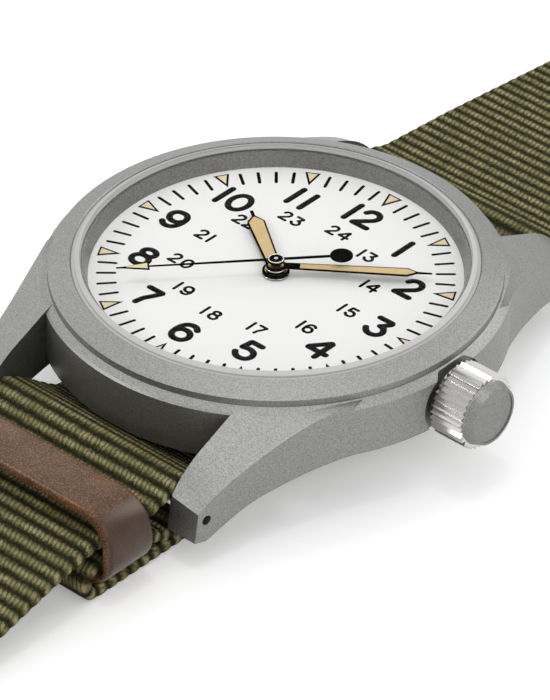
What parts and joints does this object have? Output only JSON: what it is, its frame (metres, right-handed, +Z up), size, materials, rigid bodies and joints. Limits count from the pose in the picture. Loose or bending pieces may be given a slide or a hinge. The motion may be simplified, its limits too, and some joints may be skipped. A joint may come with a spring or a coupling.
{
  "type": "field watch",
  "caption": "Steel field watch with a white 24-hour dial, black lume-filled hands, domed bezel ring, fluted crown and a ribbed olive pass-through strap with leather keepers.",
  "frame": {"origin": "on the dial's axis, on the plane that the strap rests on", "axes": "+Z up out of the dial, +Y towards 12 o'clock, +X towards the crown at 3 o'clock"},
  "size_m": [0.0419, 0.2546, 0.0115],
  "materials": {
    "case_steel": "fine blasted satin",
    "polished_steel": "polished",
    "sapphire": "clear polished",
    "gasket_rubber": "matte",
    "dial_white": "matte",
    "hand_black": "gloss, with tan luminous fill",
    "movement_plate": "grained nickel",
    "gear_brass": "satin",
    "ruby": "polished",
    "webbing": "ribbed weave",
    "strap_leather": "smooth, slightly glossy",
    "buckle_steel": "satin"
  },
  "bodies": {
    "watch_head": {"mid_case": "case_steel", "bezel": "case_steel", "crystal": "sapphire", "crystal_gasket": "gasket_rubber", "rehaut_ring": "case_steel", "dial": "dial_white", "case_back": "case_steel", "back_gasket": "gasket_rubber", "movement_holder": "polished_steel", "bar_tube_12": "polished_steel", "bar_tube_6": "polished_steel", "crown_tube": "polished_steel", "mainplate": "movement_plate", "barrel_bridge": "movement_plate", "train_bridge": "movement_plate", "balance_cock": "movement_plate", "bridge_screws": "polished_steel", "jewels": "ruby", "strap_main": "webbing", "strap_under": "webbing", "keeper_lug": "strap_leather", "keeper_fixed": "strap_leather", "buckle_bar": "buckle_steel"},
    "minute_set": {"centre_wheel": "gear_brass", "cannon_pinion": "gear_brass", "minute_hand": "hand_black"},
    "hour_set": {"hour_wheel": "gear_brass", "hour_hand": "hand_black"},
    "seconds_set": {"fourth_wheel": "gear_brass", "seconds_hand": "hand_black"},
    "third_set": {"third_wheel": "gear_brass"},
    "escape_set": {"escape_wheel": "polished_steel"},
    "barrel_set": {"barrel_drum": "gear_brass", "mainspring": "polished_steel"},
    "minute_wheel_set": {"minute_wheel": "gear_brass"},
    "setting_wheel_set": {"setting_wheel": "gear_brass"},
    "balance_set": {"balance_wheel": "gear_brass", "hairspring": "polished_steel"},
    "pallet_set": {"pallet_fork": "polished_steel"},
    "winding_set": {"winding_pinion": "polished_steel"},
    "crown_set": {"crown": "polished_steel", "crown_gasket": "gasket_rubber", "winding_stem": "polished_steel"},
    "clutch_set": {"sliding_pinion": "polished_steel"},
    "lever_set": {"setting_lever": "polished_steel"},
    "yoke_set": {"yoke": "polished_steel"},
    "crown_wheel_set": {"crown_wheel": "polished_steel"},
    "ratchet_set": {"ratchet_wheel": "polished_steel", "barrel_arbor": "polished_steel"},
    "click_set": {"click": "polished_steel"},
    "bar_pin_12_right_set": {"bar_pin_12_right": "polished_steel"},
    "bar_pin_12_left_set": {"bar_pin_12_left": "polished_steel"},
    "bar_pin_6_right_set": {"bar_pin_6_right": "polished_steel"},
    "bar_pin_6_left_set": {"bar_pin_6_left": "polished_steel"},
    "frame_set": {"buckle_frame": "buckle_steel"},
    "tongue_set": {"buckle_tongue": "buckle_steel"},
    "sliding_keeper_set": {"keeper_sliding": "strap_leather"}
  },
  "joints": [
    {"name": "minute_turn", "type": "hinge", "parent": "watch_head", "child": "minute_set", "pos_m": [0, 0, 0.008], "axis": [0, 0, -1], "continuous": true},
    {"name": "hour_turn", "type": "hinge", "parent": "watch_head", "child": "hour_set", "pos_m": [0, 0, 0.0086], "axis": [0, 0, -1], "continuous": true},
    {"name": "seconds_turn", "type": "hinge", "parent": "watch_head", "child": "seconds_set", "pos_m": [0, 0, 0.0056], "axis": [0, 0, -1], "continuous": true},
    {"name": "third_turn", "type": "hinge", "parent": "watch_head", "child": "third_set", "pos_m": [-0.00354, -0.00248, 0.0058], "axis": [0, 0, -1], "continuous": true},
    {"name": "escape_turn", "type": "hinge", "parent": "watch_head", "child": "escape_set", "pos_m": [0.00038, -0.00438, 0.0061], "axis": [0, 0, -1], "continuous": true},
    {"name": "barrel_turn", "type": "hinge", "parent": "watch_head", "child": "barrel_set", "pos_m": [0.00117, 0.00662, 0.006], "axis": [0, 0, -1], "continuous": true},
    {"name": "minute_wheel_turn", "type": "hinge", "parent": "watch_head", "child": "minute_wheel_set", "pos_m": [0.00293, 0.00107, 0.0076], "axis": [0, 0, -1], "continuous": true},
    {"name": "setting_wheel_turn", "type": "hinge", "parent": "watch_head", "child": "setting_wheel_set", "pos_m": [0.0059, 0.00245, 0.0076], "axis": [0, 0, -1], "continuous": true},
    {"name": "balance_swing", "type": "hinge", "parent": "watch_head", "child": "balance_set", "pos_m": [0.0042, -0.00727, 0.0059], "axis": [0, 0, 1], "range_deg": [-250, 250], "stiffness_Nm_per_rad": 0.00000014},
    {"name": "pallet_rock", "type": "hinge", "parent": "watch_head", "child": "pallet_set", "pos_m": [0.00226, -0.0058, 0.0063], "axis": [0, 0, 1], "range_deg": [-8, 8]},
    {"name": "crown_turn", "type": "hinge", "parent": "watch_head", "child": "winding_set", "pos_m": [0.0093, 0, 0.00678], "axis": [1, 0, 0], "continuous": true},
    {"name": "crown_pull", "type": "slide", "parent": "winding_set", "child": "crown_set", "axis": [1, 0, 0], "range_m": [0, 0.0009]},
    {"name": "clutch_slide", "type": "slide", "parent": "winding_set", "child": "clutch_set", "axis": [1, 0, 0], "range_m": [-0.0009, 0]},
    {"name": "setting_lever_turn", "type": "hinge", "parent": "watch_head", "child": "lever_set", "pos_m": [0.0106, 0.0017, 0.0076], "axis": [0, 0, 1], "range_deg": [0, 32.5]},
    {"name": "yoke_turn", "type": "hinge", "parent": "watch_head", "child": "yoke_set", "pos_m": [0.0079, -0.004, 0.00678], "axis": [0, 0, 1], "range_deg": [0, 17.5]},
    {"name": "crown_wheel_turn", "type": "hinge", "parent": "watch_head", "child": "crown_wheel_set", "pos_m": [0.0062, 0, 0.0048], "axis": [0, 0, 1], "continuous": true},
    {"name": "ratchet_turn", "type": "hinge", "parent": "watch_head", "child": "ratchet_set", "pos_m": [0.00117, 0.00662, 0.0048], "axis": [0, 0, 1], "continuous": true},
    {"name": "click_swing", "type": "hinge", "parent": "watch_head", "child": "click_set", "pos_m": [0.0092, 0.0083, 0.0047], "axis": [0, 0, -1], "range_deg": [0, 12], "stiffness_Nm_per_rad": 0.000001},
    {"name": "bar_pin_12_right_press", "type": "slide", "parent": "watch_head", "child": "bar_pin_12_right_set", "axis": [-1, 0, 0], "range_m": [0, 0.0005], "stiffness_N_per_m": 200},
    {"name": "bar_pin_12_left_press", "type": "slide", "parent": "watch_head", "child": "bar_pin_12_left_set", "axis": [1, 0, 0], "range_m": [0, 0.0005], "stiffness_N_per_m": 200},
    {"name": "bar_pin_6_right_press", "type": "slide", "parent": "watch_head", "child": "bar_pin_6_right_set", "axis": [-1, 0, 0], "range_m": [0, 0.0005], "stiffness_N_per_m": 200},
    {"name": "bar_pin_6_left_press", "type": "slide", "parent": "watch_head", "child": "bar_pin_6_left_set", "axis": [1, 0, 0], "range_m": [0, 0.0005], "stiffness_N_per_m": 200},
    {"name": "buckle_swing", "type": "hinge", "parent": "watch_head", "child": "frame_set", "pos_m": [0, 0.092, 0.00195], "axis": [1, 0, 0], "range_deg": [0, 60]},
    {"name": "tongue_swing", "type": "hinge", "parent": "frame_set", "child": "tongue_set", "pos_m": [0, 0.092, 0.00195], "axis": [1, 0, 0], "range_deg": [0, 50]},
    {"name": "keeper_slide", "type": "slide", "parent": "watch_head", "child": "sliding_keeper_set", "axis": [0, 1, 0], "range_m": [-0.01, 0.008]}
  ],
  "couplings": [
    {"joint": "hour_turn", "follows": "minute_turn", "ratio": 0.083333},
    {"joint": "seconds_turn", "follows": "minute_turn", "ratio": 60},
    {"joint": "third_turn", "follows": "minute_turn", "ratio": -8},
    {"joint": "escape_turn", "follows": "minute_turn", "ratio": -600},
    {"joint": "barrel_turn", "follows": "minute_turn", "ratio": -0.16667},
    {"joint": "minute_wheel_turn", "follows": "minute_turn", "ratio": -0.33333},
    {"joint": "setting_wheel_turn", "follows": "minute_turn", "ratio": 0.83333},
    {"joint": "crown_wheel_turn", "follows": "crown_turn", "ratio": 0.5},
    {"joint": "ratchet_turn", "follows": "crown_turn", "ratio": -0.27778},
    {"joint": "clutch_slide", "follows": "crown_pull", "ratio": -1},
    {"joint": "setting_lever_turn", "follows": "crown_pull", "rad_per_m": 618},
    {"joint": "yoke_turn", "follows": "crown_pull", "rad_per_m": 322}
  ]
}
